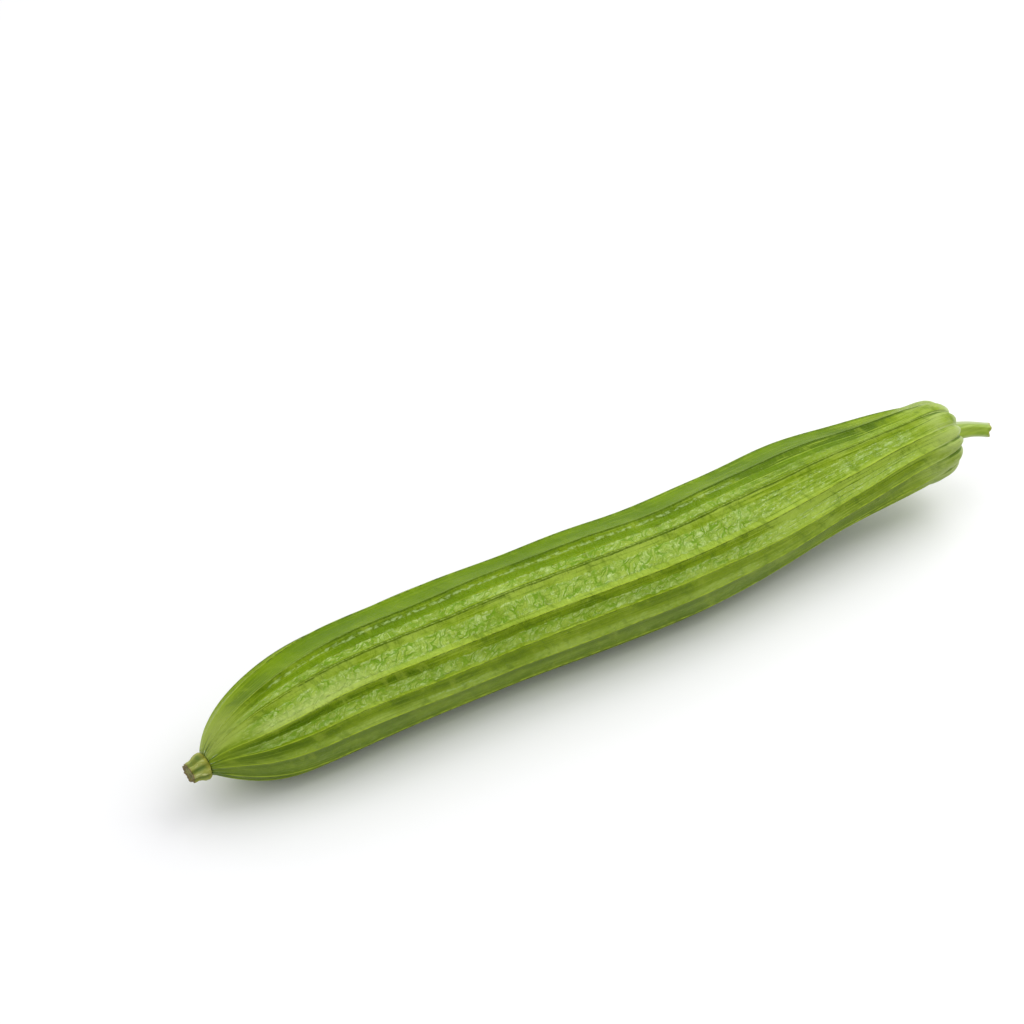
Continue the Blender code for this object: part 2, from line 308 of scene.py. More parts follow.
def folds(along, across, panel):
    """The larger folds across a panel, as a height between -1 and 1."""
    wander = FOLD_WANDER * noise(Vector((along / FOLD_WANDER_LENGTH, 1.3 * across, 7.3 * panel)))
    lean = FOLD_LEAN * (across - FOLD_MIDDLE[panel]) * (1.0 if panel % 2 else -1.0)
    arch = math.sin(2.0 * math.pi * (along / FOLD_PITCH + wander + lean))
    lumps = noise(Vector((along / LUMP_LENGTH, 4.0 * across, 11.0 * panel)))
    patch = 0.6 + 0.9 * noise(Vector((along / PATCH_LENGTH, 1.2 * across, 3.1 * panel + 40.0)))
    return (FOLD_ARCH * arch + LUMP_HEIGHT * lumps) * min(max(patch, 0.1), 1.0)


def pleats(along, across):
    """Small pleats where the skin gathers at the neck, and creases that run in to the stalk."""
    pleat = bump_at(along, *PLEAT_REACH) * math.cos(4.0 * math.pi * (across + 0.1))
    crease = bump_at(min(across, 1.0 - across), 0.0, CREASE_WIDTH)
    crease *= bump_at(FRUIT_LENGTH - along, *CREASE_REACH)
    return PLEAT_DEPTH * pleat - CREASE_DEPTH * crease


# Panel by panel, how light its skin is: all over, just above the rib it starts from, in its
# hollow, and below the next rib; then the share of the panel where its hollow is darkest
# Partly own colour, partly painted shade underneath, on panel 7 and in the hollows, and painted
# light above crests
PANEL_TONE_AND_SHADE = (-0.5, -0.7, -0.6, 0.0, 0.35, 0.6, 0.15, -0.7, 0.3, 0.0, 0.2, -0.2, -0.3, -0.5)
CREST_TONE_AND_LIGHT = (0.3, 0.2, -0.7, 1.25, 0.05, 0.5, 0.0, 0.0, 0.5, 0.2, 0.5, 0.3, 0.4, 0.3)
HOLLOW_TONE_AND_SHADE = (-0.2, -0.2, -0.9, -0.8, -1.5, 0.1, -1.5, -0.5, -0.2, -1.0, -0.4, -0.9, -0.5, -0.3)
EDGE_TONE_AND_SHADE = (0.2, 0.2, 1.0, -0.1, 0.1, 0.3, -0.9, 0.0, -0.5, 0.3, -0.4, 0.2, 0.2, 0.2)
HOLLOW_PLACE = (0.5, 0.5, 0.8, 0.60, 0.71, 0.6, 0.66, 0.6, 0.6, 0.6, 0.6, 0.6, 0.5, 0.5)
CREST_BAND = (0.13, 0.11)
EDGE_BAND = (0.96, 0.12)
HOLLOW_WIDTH = 0.20
HOLLOW_LENGTH = 0.022
# Towards the stalk, over the ripe part, crests and hollows fade, but hardly panel 6's hollow;
# angles are in radians from straight down towards -Y
RIPE = (0.60, 0.14)
CREST_LOST = 0.8
HOLLOW_LOST = 0.7
DEEP_PANEL = 6
DEEP_LOST = 0.1
PALE_END = (0.88, 0.07)
END_TONE = 0.9
END_PALING = 0.75
NECK = (0.02, 0.035)
# Near the neck, painted light on top and painted shade across each panel and low on the -Y side
NECK_TOP_LIGHT = 0.7
NECK_TOP_ANGLE = 0.3
NECK_SHADE_SLOPE = 0.5
NECK_SHADE = 0.9
NECK_SHADE_REACH = (0.035, 0.05)
NECK_SHADE_ANGLE = 1.3
NECK_PATCH_REACH = (0.035, 0.02)
DRAWN_IN = (0.035, 0.028)
# Lighter and darker stripes along the fruit: place counted in panels, half width and tone
RIPE_STRIPES = ((4.30, 0.22, 0.8), (4.80, 0.25, 1.0), (5.7, 0.5, -0.5), (2.6, 0.5, -0.4))
LATE_STRIPES = ((6.0, 0.10, 0.8), (6.95, 0.4, -0.8))
END_STRIPES = ((3.5, 0.25, -1.3),)
NECK_PATCH_STRIPES = ((5.1, 0.35, -0.9),)
DRAWN_IN_STRIPES = ((4.85, 0.15, 0.7), (4.3, 0.25, -0.9), (6.9, 0.35, 0.6), (2.5, 0.35, 0.5))
# The ribs that are no sharp edges but shallow double grooves
GROOVED = (0, 0, 0, 0, 0, 0, 1, 1, 0, 1, 0, 1, 0, 0)


def striped(place, stripes):
    """The tones of all these stripes, added up at this place round the fruit."""
    return sum(tone_and_shade * bump_at(place, middle, width) for middle, width, tone_and_shade in stripes)


def skin_tone_and_shade(along, across, panel, angle):
    """How light the skin is, painted light and shade included: about -1 in the dark hollows and 1
    on the palest crests.
    """
    share, place = along / FRUIT_LENGTH, panel + across
    ripe, end, neck = rise(share, *RIPE), rise(share, *PALE_END), bump_at(share, *NECK)
    crest = CREST_TONE_AND_LIGHT[panel] * bump_at(across, *CREST_BAND)
    tone_and_shade = PANEL_TONE_AND_SHADE[panel] + crest * (1.0 - CREST_LOST * ripe) * (1.0 - neck)
    kept = 1.0 - (DEEP_LOST if panel == DEEP_PANEL else HOLLOW_LOST) * ripe
    kept *= 0.85 + 0.9 * noise(Vector((along / HOLLOW_LENGTH, 0.8 * across, 17.0 * panel)))
    hollow = HOLLOW_TONE_AND_SHADE[panel] * bump_at(across, HOLLOW_PLACE[panel], HOLLOW_WIDTH)
    tone_and_shade += hollow * kept * (1.0 - end) + EDGE_TONE_AND_SHADE[panel] * bump_at(across, *EDGE_BAND)
    tone_and_shade += ripe * striped(place, RIPE_STRIPES)
    tone_and_shade += ripe * (1.0 - end) * striped(place, LATE_STRIPES)
    tone_and_shade += end * (END_PALING * (END_TONE - tone_and_shade) + striped(place, END_STRIPES))
    shade = NECK_SHADE * max(0.0, math.cos(angle - NECK_SHADE_ANGLE))
    tone_and_shade -= bump_at(share, *NECK_SHADE_REACH) * shade
    tone_and_shade += bump_at(share, *NECK_PATCH_REACH) * striped(place, NECK_PATCH_STRIPES)
    tone_and_shade += bump_at(share, *DRAWN_IN) * striped(place, DRAWN_IN_STRIPES)
    # painted light on the neck's top, painted shade across each of its panels
    painted_top_light = NECK_TOP_LIGHT * max(0.0, -math.cos(angle - NECK_TOP_ANGLE))
    return tone_and_shade + neck * (painted_top_light + NECK_SHADE_SLOPE * (across - 0.5))


def turned(profile, columns):
    """Turns a line of points (along, radius) about X; each vertex remembers its ring."""
    mesh = bmesh.new()
    ring_of = mesh.verts.layers.int.new("ring")
    outline = []
    for ring, (along, radius) in enumerate(profile):
        vertex = mesh.verts.new((along, 0.0, -radius))
        vertex[ring_of] = ring
        outline.append(vertex)
    edges = [mesh.edges.new(pair) for pair in zip(outline, outline[1:])]
    bmesh.ops.spin(
        mesh, geom=outline + edges, cent=(0.0, 0.0, 0.0), axis=(1.0, 0.0, 0.0),
        angle=2.0 * math.pi, steps=columns, use_merge=True,
    )
    return mesh, ring_of


def turn_of(vertex):
    """Angle of a vertex about X, from straight down towards -Y, in radians."""
    return math.atan2(-vertex.co.y, -vertex.co.z) % (2.0 * math.pi)


def closed(mesh):
    """Closes the open ends and turns every face outward."""
    bmesh.ops.holes_fill(mesh, edges=[edge for edge in mesh.edges if edge.is_boundary])
    bmesh.ops.recalc_face_normals(mesh, faces=mesh.faces[:])
    return mesh


def make_fruit():
    """Turns the profile about X, then bends it, raises the ribs and presses it flat underneath."""
    profile = fruit_profile()
    columns = RIB_COUNT * len(PANEL_COLUMNS)
    mesh, ring_of = turned(profile, columns)
    fold_of, inset_of, groove_of, tone_and_shade_of = [
        mesh.verts.layers.float.new(name) for name in ("folded", "inset", "groove", "tone_and_shade")
    ]
    unrolled = mesh.loops.layers.uv.new("skin")
    column_of = {}
    for vertex in mesh.verts:
        column_of[vertex] = round(turn_of(vertex) / (2.0 * math.pi) * columns) % columns
    for face in mesh.faces:
        corners = [column_of[loop.vert] for loop in face.loops]
        past_seam = max(corners) - min(corners) > 2
        for loop, column in zip(face.loops, corners):
            if past_seam and column == 0:
                column = columns
            rib, place = divmod(column, len(PANEL_COLUMNS))
            along = profile[loop.vert[ring_of]][0]
            loop[unrolled].uv = (along * CENTIMETRES, rib + PANEL_COLUMNS[place])
    frames = []
    for ring, (along, radius) in enumerate(profile):
        before, after = profile[max(ring - 1, 0)], profile[min(ring + 1, len(profile) - 1)]
        slope = Vector((after[0] - before[0], after[1] - before[1])).normalized()
        ribs = [rib_angle(rib, along) for rib in range(RIB_COUNT + 1)]
        frames.append((along, radius, slope, ribs))
    for vertex in mesh.verts:
        along, radius, slope, ribs = frames[vertex[ring_of]]
        rib, place = divmod(column_of[vertex], len(PANEL_COLUMNS))
        across = PANEL_COLUMNS[place]
        angle = ribs[rib] + across * (ribs[rib + 1] - ribs[rib])
        fold, inset = folded(along, rib), inside_band(across, rib)
        vertex[fold_of] = fold
        vertex[inset_of] = inset
        vertex[groove_of] = GROOVED[(rib + (across > 0.5)) % RIB_COUNT]
        vertex[tone_and_shade_of] = skin_tone_and_shade(along, across, rib, angle)
        height = rib_relief(along, across) + unevenness(along, angle) + pleats(along, across)
        dent = noise(Vector((along / DENT_LENGTH, 2.2 * (rib + across), 5.0)))
        fold *= ease((inset + FOLD_EDGE) / (2.0 * FOLD_EDGE))
        height += FOLD_DEPTH * fold * folds(along, across, rib)
        height += DENT_DEPTH * dent * math.sin(math.pi * across)
        height *= min(1.0, (radius / FADE_RADIUS) ** 2)
        along -= slope.y * height + skew(along, radius, angle)
        radius += slope.x * height
        centre, direction, sideways, upward = centre_frame(along)
        vertex.co = centre - radius * (math.cos(angle) * upward + math.sin(angle) * sideways)
        vertex.co.z = max(vertex.co.z, 0.0)
    return closed(mesh)


def linked(name, data):
    """An object made of this mesh, lamp or camera, put into the scene."""
    thing = bpy.data.objects.new(name, data)
    bpy.context.scene.collection.objects.link(thing)
    return thing


def finish(name, mesh, shift):
    """Makes the object, moved into the part's frame, smooth, riding on the part's one body."""
    bmesh.ops.translate(mesh, verts=mesh.verts[:], vec=shift)
    data = bpy.data.meshes.new(name)
    mesh.to_mesh(data)
    mesh.free()
    data.shade_smooth()
    piece = linked(name, data)
    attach(piece, "root")
    return piece


fruit_mesh = make_fruit()
low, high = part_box("fruit")
reach = [vertex.co for vertex in fruit_mesh.verts]
SHIFT = Vector((
    0.5 * (low[0] + high[0] - min(co.x for co in reach) - max(co.x for co in reach)),
    0.5 * (low[1] + high[1] - min(co.y for co in reach) - max(co.y for co in reach)),
    0.0,
))
fruit = finish("fruit_skin", fruit_mesh, SHIFT)


def seen(red, green, blue):
    """A colour given as screen numbers from 0 to 255, as the shader wants it."""
    parts = []
    for value in (red, green, blue):
        value /= 255.0
        parts.append(value / 12.92 if value <= 0.04045 else ((value + 0.055) / 1.055) ** 2.4)
    return (*parts, 1.0)


class Shading:
    """A material under construction: each call adds a node and gives back its output."""

    def __init__(self, name, base=(255, 255, 255)):
        self.material = bpy.data.materials.new(name)
        self.material.use_nodes = True
        self.tree = self.material.node_tree
        self.shader = self.tree.nodes["Principled BSDF"]
        self.colour = seen(*base)

    def put(self, value, socket):
        """Links an output to the socket, or sets the socket to a value."""
        if isinstance(value, bpy.types.NodeSocket):
            self.tree.links.new(value, socket)
        else:
            socket.default_value = value

    def let(self, name, value):
        """Links an output to the shader's socket of this name, or sets it."""
        self.put(value, self.shader.inputs[name])

    def sums(self, operation, first, second=0.0):
        """The result of one sum, named as the node names it."""
        node = self.tree.nodes.new("ShaderNodeMath")
        node.operation = operation
        self.put(first, node.inputs[0])
        self.put(second, node.inputs[1])
        return node.outputs[0]

    def all_by(self, operation, values):
        """The values taken together by the same sum, one after the other."""
        total = values[0]
        for value in values[1:]:
            total = self.sums(operation, total, value)
        return total

    def added(self, *values):
        """The sum of all the values."""
        return self.all_by("ADD", values)

    def times(self, *values):
        """The product of all the values."""
        return self.all_by("MULTIPLY", values)

    def most(self, *values):
        """The greatest of the values."""
        return self.all_by("MAXIMUM", values)

    def less(self, first, second):
        """The first value less the second."""
        return self.sums("SUBTRACT", first, second)

    def joined(self, first, second):
        """A flat place made of two numbers."""
        node = self.tree.nodes.new("ShaderNodeCombineXYZ")
        self.put(first, node.inputs[0])
        self.put(second, node.inputs[1])
        return node.outputs[0]

    def between(self, value, low, high, to_low=0.0, to_high=1.0):
        """A smooth change from one number to another as value goes from low to high."""
        node = self.tree.nodes.new("ShaderNodeMapRange")
        node.interpolation_type = "SMOOTHSTEP"
        for socket, part in zip(node.inputs, (value, low, high, to_low, to_high)):
            self.put(part, socket)
        return node.outputs[0]

    def span(self, value, start, full, fading, gone):
        """1 from full to fading, 0 before the start and once it is gone."""
        return self.times(self.between(value, start, full), self.between(value, gone, fading))

    def stripe(self, value, middle, half):
        """1 close to the middle, 0 at the half width or more away."""
        away = self.sums("ABSOLUTE", self.less(value, middle))
        return self.between(away, half, 0.3 * half)

    def mix(self, share, first, second):
        """The first colour turning into the second as the share goes from 0 to 1."""
        node = self.tree.nodes.new("ShaderNodeMix")
        node.data_type = "RGBA"
        self.put(share, node.inputs[0])
        self.put(first, node.inputs[6])
        self.put(second, node.inputs[7])
        return node.outputs[2]

    def paint(self, colour, *shares):
        """Lays a colour over those before it, as thickly as the product of the shares says."""
        self.colour = self.mix(self.times(*shares), self.colour, seen(*colour))

    def stretched(self, place, stretch):
        """The place with each of its directions stretched."""
        mapping = self.tree.nodes.new("ShaderNodeMapping")
        self.put(place, mapping.inputs["Vector"])
        mapping.inputs["Scale"].default_value = stretch
        return mapping.outputs[0]

    def grain(self, place, scale, detail, roughness, stretch=(1.0, 1.0, 1.0)):
        """Cloudy noise between 0 and 1: its fineness, layers and roughness, and its stretch."""
        node = self.tree.nodes.new("ShaderNodeTexNoise")
        self.put(self.stretched(place, stretch), node.inputs["Vector"])
        node.inputs["Scale"].default_value = scale
        node.inputs["Detail"].default_value = detail
        node.inputs["Roughness"].default_value = roughness
        return node.outputs["Fac"]

    def swing(self, *settings):
        """The same noise less a half, so that it swings both ways."""
        return self.less(self.grain(*settings), 0.5)

    def pads(self, place, scale, stretch):
        """Small pads side by side: the way in from each pad's edge, and a number for each."""
        place = self.stretched(place, stretch)
        outputs = []
        for feature, output in (("DISTANCE_TO_EDGE", "Distance"), ("F1", "Color")):
            node = self.tree.nodes.new("ShaderNodeTexVoronoi")
            node.voronoi_dimensions = "2D"
            node.feature = feature
            node.inputs["Scale"].default_value = scale
            self.put(place, node.inputs["Vector"])
            outputs.append(node.outputs[output])
        return outputs[0], self.less(outputs[1], 0.5)

    def place(self):
        """The point's own place in the part's frame."""
        return self.tree.nodes.new("ShaderNodeTexCoord").outputs["Object"]

    def attribute(self, name):
        """A number that the mesh carries for each vertex."""
        node = self.tree.nodes.new("ShaderNodeAttribute")
        node.attribute_name = name
        return node.outputs["Fac"]

    def relief(self, height, distance, strength, over=None):
        """Fine relief of this height in metres, over any relief given."""
        node = self.tree.nodes.new("ShaderNodeBump")
        node.inputs["Distance"].default_value = distance
        node.inputs["Strength"].default_value = strength
        self.put(height, node.inputs["Height"])
        if over is not None:
            self.put(over, node.inputs["Normal"])
        return node.outputs[0]

    def done(self, roughness, bumps):
        """Gives the shader its colour, roughness and fine relief, and gives back the material."""
        self.let("Base Color", self.colour)
        self.let("Roughness", roughness)
        self.let("Normal", bumps)
        return self.material


# The skin's colours, as screen numbers
HOLLOW_GREEN, SKIN_GREEN = (74, 102, 2), (121, 147, 18)
LIGHT_GREEN, PALEST_GREEN = (154, 179, 64), (180, 203, 88)
LIGHT_STREAK, DARK_STREAK = (162, 186, 66), (78, 106, 6)
LIGHT_SLANT, DARK_SLANT, DARK_STROKE = (148, 170, 52), (80, 108, 8), (76, 106, 6)
PALE_BAND, WAX_GLINT_WHITE, CREASE_GREEN = (162, 188, 92), (196, 216, 148), (98, 140, 8)
WHITISH_SHEEN_BAND, FRESH_GREEN = (182, 200, 112), (102, 135, 0)
REFLECTION_GREY_GREEN, PALER_NECK = (124, 140, 64), (160, 174, 92)
GROOVE_DARK, RIB_LIGHT = (92, 116, 26), (176, 199, 62)
DASH_PALE, LINE_DARK = (160, 182, 88), (62, 88, 8)
PLEAT_SHADE, PLEAT_LIP_GLINT = (64, 90, 28), (190, 205, 176)
SHOULDER_BLOOM, SHOULDER_CREASE_SHADE = (168, 184, 112), (76, 106, 14)
SHOULDER_FOLD, END_RING = (184, 200, 134), (190, 202, 152)
SEAM_GLINT_PALE, SPECK_PALE = (172, 198, 128), (196, 212, 140)
SHEEN_TINT = (0.75, 1.0, 0.22, 1.0)
SHEEN_LEVEL = 0.15
PANEL_WIDTH = 1.15
# Where a marking begins or ends, in centimetres from the neck
LINED_FROM = (21.0, 27.0)
MARKS_CHANGE = (22.0, 27.0)
FLECKED = (20.0, 25.0, 33.5, 35.0)
WHITISH = (1.2, 2.5, 4.5, 8.5)
FRESH = (1.5, 4.5, 29.0, 34.0)
NECK_PALING = (2.6, 0.2)
RIB_LINE_FROM = (1.0, 4.5)
GROOVE_LINE_FROM = (3.0, 6.0)
LIGHT_BY_NECK = (6.0, 2.0)
RIB_LINE_TO = (35.6, 34.4)
GROOVE_LINE_TO = (36.5, 36.2)
PLEAT_SHADE_TO = (0.65, 0.1)
PLEAT_GLINTS_TO = (0.42, 0.12)
BLOOM_FROM = (34.2, 36.2)
SHOULDER_MARKS = (34.6, 35.9)
END_RING_FROM = (36.3, 36.8)
# Stripes beside each rib, or between two: the middle, and how far to both sides, in panels
GROOVE_STRIPE = (0.022, 0.060)
RIB_LIGHT_LINE = (0.012, 0.032)
DASH_LINE = (0.022, 0.028)
DARK_LINE = (-0.026, 0.026)
SECOND_LINE = (0.068, 0.026)
SHOULDER_FOLD_LINE = (0.03, 0.07)
SHOULDER_SHADE_SIDE = (-0.07, 0.10)
PLEAT_SHADE_STRIPE = (0.0, 0.38)
PLEAT_GLINT_STRIPE = (0.30, 0.16)
# Stripes counted from the rib under the fruit
WHITISH_STRIPE = (5.22, 0.36)
FRESH_PLACES = (6.62, 9.62, 11.62)
FRESH_HALF_WIDTH = 0.18
SHADED_FRESH_PANEL = (7.5, 0.85)
UNFOLDED_RIB = (6.0, 0.4)
# The low pale seams, dashed with painted glints: rib number and share of a panel, and from where to
# where in centimetres
PALE_GLINT_SEAMS = (
    (6.82, 2.5, 26.0), (5.47, 30.0, 35.0), (3.2, 8.5, 11.8), (8.72, 6.0, 24.0),
    (10.35, 14.0, 31.0), (12.6, 3.0, 15.0), (1.4, 12.0, 30.0),
)
SEAM_HALF_WIDTH = 0.075
SEAM_FADE = 1.0


def skin_material():
    """The skin's colour with its painted light, shade, glints and sheen, and its fine relief, laid
    out on the length in centimetres and the ribs.
    """
    skin = Shading("green_waxy_skin", HOLLOW_GREEN)
    unrolled = skin.tree.nodes.new("ShaderNodeUVMap")
    unrolled.uv_map = "skin"
    split = skin.tree.nodes.new("ShaderNodeSeparateXYZ")
    skin.put(unrolled.outputs[0], split.inputs[0])
    along, rib = split.outputs[0], split.outputs[1]
    flat = skin.joined(along, skin.times(rib, PANEL_WIDTH))
    tone_and_shade, groove = skin.attribute("tone_and_shade"), skin.attribute("groove")
    fold, inset = skin.attribute("folded"), skin.attribute("inset")

    # the colour without any markings, from the tone with its painted light and shade
    mottle = skin.swing(flat, 0.9, 4.0, 0.6, (0.6, 1.0, 1.0))
    cloud = skin.swing(flat, 4.5, 4.0, 0.65, (0.7, 1.0, 1.0))
    patch = skin.swing(flat, 0.36, 2.0, 0.5)
    tone_and_shade = skin.added(
        tone_and_shade, skin.times(mottle, 2.4), skin.times(cloud, 1.1), skin.times(patch, 2.6))
    skin.paint(SKIN_GREEN, skin.between(tone_and_shade, -1.7, 0.0))
    skin.paint(LIGHT_GREEN, skin.between(tone_and_shade, 0.0, 1.1))
    skin.paint(PALEST_GREEN, skin.between(tone_and_shade, 1.1, 2.4))

    # long streaks, and soft slanting ones
    streak = skin.swing(flat, 1.0, 4.0, 0.7, (0.22, 13.0, 1.0))
    lined = skin.between(along, *LINED_FROM, 0.5, 0.95)
    skin.paint(LIGHT_STREAK, skin.between(streak, 0.04, 0.14), lined)
    skin.paint(DARK_STREAK, skin.between(streak, -0.04, -0.14), lined)
    slant = skin.joined(skin.added(along, skin.times(rib, 0.5)), rib)
    slanting = skin.swing(slant, 1.5, 3.0, 0.6, (1.0, 0.6, 1.0))
    skin.paint(LIGHT_SLANT, skin.between(slanting, 0.04, 0.2, 0.0, 0.5))
    skin.paint(DARK_SLANT, skin.between(slanting, -0.04, -0.2, 0.0, 0.6))
    stroke = skin.grain(slant, 2.2, 3.0, 0.6, (1.0, 0.5, 1.0))
    skin.paint(DARK_STROKE, skin.between(stroke, 0.58, 0.74, 0.0, 0.5))

    # the pale bands, swollen into small pads with green creases between them
    wander, curl = skin.swing(flat, 1.4, 2.0, 0.5), skin.swing(flat, 5.0, 2.0, 0.5)
    moved = skin.joined(
        skin.added(along, skin.times(rib, -0.9), skin.times(wander, 1.1), skin.times(curl, 0.30)),
        skin.added(skin.times(rib, 0.85), skin.times(wander, -0.6), skin.times(curl, 0.30)),
    )
    edge, shade = skin.pads(moved, 2.5, (1.0, 1.25, 1.0))
    small_edge, small_shade = skin.pads(moved, 5.4, (1.0, 1.2, 1.0))
    parted = skin.between(skin.grain(flat, 1.6, 2.0, 0.5), 0.36, 0.56, 0.15, 1.0)
    crease = skin.times(skin.between(edge, 0.20, 0.03), parted)
    crease = skin.most(crease, skin.between(small_edge, 0.18, 0.02, 0.0, 0.5))
    ragged = skin.added(inset, skin.times(curl, 0.16), skin.times(wander, 0.14))
    band = skin.times(skin.between(ragged, -0.02, 0.03), fold)
    blotch = skin.grain(flat, 2.6, 3.0, 0.6, (0.7, 1.0, 1.0))
    uneven = skin.added(blotch, skin.times(shade, 0.22), skin.times(small_shade, 0.10))
    paleness = skin.between(uneven, 0.38, 0.70, 0.25, 1.0)
    skin.paint(PALE_BAND, band, paleness, 0.9)

    # painted glints on the wax of the pads, on their edges and on the band's rim, and flecks of
    # them near the stalk
    wax_glints = skin.times(skin.between(uneven, 0.58, 0.80), band)
    rim = skin.times(skin.between(ragged, 0.09, 0.03), skin.between(cloud, -0.02, 0.10, 0.0, 0.8))
    lip = skin.span(edge, 0.10, 0.20, 0.22, 0.36)
    glint = skin.between(skin.grain(flat, 4.6, 3.0, 0.6, (0.8, 1.0, 1.0)), 0.48, 0.60)
    fleck = skin.times(
        skin.between(skin.grain(flat, 7.0, 3.0, 0.6, (0.4, 1.7, 1.0)), 0.55, 0.66),
        skin.between(ragged, -0.08, 0.04), skin.span(along, *FLECKED),
        skin.between(fold, 0.1, 0.3), skin.between(rib, 5.9, 6.1, 1.0, 0.15), 0.9)
    wax_glints = skin.most(wax_glints, skin.times(rim, band), skin.times(lip, glint, 0.7, band), fleck)
    skin.paint(WAX_GLINT_WHITE, wax_glints, 0.7)
    beyond = skin.times(skin.between(ragged, -0.20, -0.03, 0.0, 0.4), fold)
    skin.paint(CREASE_GREEN, crease, skin.most(band, beyond), 0.85)

    # near the blossom end one broad band is paler, almost white with a painted sheen
    whitish = skin.stripe(skin.added(rib, skin.times(wander, 0.15)), *WHITISH_STRIPE)
    skin.paint(WHITISH_SHEEN_BAND, skin.span(along, *WHITISH), whitish, 0.5)

    # the hollows under the grooved ribs stay a fresh clear green; on panel 7 that darker green is
    # painted shade
    fresh = skin.times(skin.stripe(rib, *SHADED_FRESH_PANEL), 0.85)
    shifted = skin.added(rib, skin.times(wander, 0.12))
    for place in FRESH_PLACES:
        fresh = skin.most(fresh, skin.stripe(shifted, place, FRESH_HALF_WIDTH))
    clouded = skin.between(cloud, -0.25, 0.1, 0.85, 0.6)
    skin.paint(FRESH_GREEN, fresh, skin.span(along, *FRESH), clouded)

    # the sides near the ground are greyed as a painted reflection, the neck is paler on top
    skin.paint(REFLECTION_GREY_GREEN, skin.between(rib, 4.1, 2.6, 0.0, 0.30))
    paled_neck = skin.between(along, *NECK_PALING, 0.0, 0.6)
    skin.paint(PALER_NECK, paled_neck, skin.between(rib, 4.9, 6.2, 0.15, 1.0))

    # the ribs: a thin broken dark line below each, and above it a light one, or in the
    # grooved ones a darker stripe with pale dashes between two lines
    jag = skin.swing(flat, 9.0, 3.0, 0.6)
    shaken = skin.added(
        rib, skin.times(jag, 0.010), skin.times(curl, 0.010), skin.times(wander, 0.05))
    past_rib = skin.less(skin.sums("FRACT", skin.added(shaken, 0.5)), 0.5)
    fading = skin.between(along, *MARKS_CHANGE, 1.0, 0.3)
    skin.paint(GROOVE_DARK, skin.stripe(past_rib, *GROOVE_STRIPE), groove, fading, 0.6)
    by_neck = skin.between(along, *LIGHT_BY_NECK)
    uneven_line = skin.grain(flat, 2.6, 3.0, 0.6, (1.0, 0.5, 1.0))
    patchy_line = skin.between(uneven_line, 0.36, 0.60, 0.1, 0.75)
    skin.paint(
        RIB_LIGHT, skin.stripe(past_rib, *RIB_LIGHT_LINE),
        skin.most(skin.less(1.0, groove), by_neck),
        skin.most(patchy_line, skin.times(by_neck, 0.7)))
    dashes = skin.grain(flat, 8.0, 2.0, 0.5, (1.0, 0.25, 1.0))
    dash = skin.between(dashes, 0.46, 0.62)
    skin.paint(DASH_PALE, skin.stripe(past_rib, *DASH_LINE), groove, dash, 0.7)
    denser = skin.between(along, *MARKS_CHANGE, 0.0, 0.08)
    broken = skin.between(skin.added(skin.grain(flat, 2.3, 3.0, 0.6), denser), 0.40, 0.56, 0.1, 1.0)
    broken = skin.times(broken, skin.between(along, *RIB_LINE_FROM))
    in_groove = skin.times(groove, skin.between(along, *GROOVE_LINE_FROM, 0.0, 0.7))
    line = skin.times(
        skin.stripe(past_rib, *DARK_LINE), skin.most(broken, in_groove),
        skin.most(groove, skin.between(dashes, 0.62, 0.45, 0.45, 1.0)))
    second_line = skin.times(
        skin.stripe(past_rib, *SECOND_LINE), groove,
        skin.between(dashes, 0.60, 0.42, 0.5, 0.95))
    ending = skin.most(
        skin.times(groove, skin.between(along, *GROOVE_LINE_TO)),
        skin.between(along, *RIB_LINE_TO, 0.2, 1.0))
    line = skin.times(skin.most(line, second_line), ending)
    skin.paint(LINE_DARK, line, 0.75)

    # painted shade in the pleats and painted glints on their lips, where the neck is drawn in
    twice = skin.less(skin.sums("FRACT", skin.added(skin.times(shaken, 2.0), 0.3)), 0.5)
    drawn = skin.between(skin.grain(skin.joined(0.0, rib), 0.9, 1.0, 0.5), 0.43, 0.60)
    skin.paint(
        PLEAT_SHADE, skin.stripe(twice, *PLEAT_SHADE_STRIPE), skin.between(along, *PLEAT_SHADE_TO),
        skin.added(drawn, 0.15), 0.75)
    skin.paint(
        PLEAT_LIP_GLINT, skin.stripe(twice, *PLEAT_GLINT_STRIPE), skin.between(along, *PLEAT_GLINTS_TO),
        drawn, skin.between(dashes, 0.42, 0.60), 0.85)

    # the shoulder: a pale bloom, a pale fold above each rib and painted shade in the crease below
    # it
    bloom = skin.between(along, *BLOOM_FROM, 0.0, 0.6)
    skin.paint(SHOULDER_BLOOM, bloom, skin.between(mottle, -0.12, 0.10, 0.1, 1.0))
    shoulder = skin.between(along, *SHOULDER_MARKS)
    unfolded = skin.added(1.0, skin.times(skin.stripe(rib, *UNFOLDED_RIB), -0.8))
    above = skin.stripe(past_rib, *SHOULDER_FOLD_LINE)
    skin.paint(SHOULDER_FOLD, above, shoulder, unfolded, 0.6)
    skin.paint(END_RING, skin.between(along, *END_RING_FROM, 0.0, 0.7))
    patchy = skin.between(skin.grain(flat, 0.8, 2.0, 0.5), 0.40, 0.56, 0.1, 0.9)
    below = skin.stripe(past_rib, *SHOULDER_SHADE_SIDE)
    skin.paint(SHOULDER_CREASE_SHADE, below, shoulder, skin.most(groove, patchy))

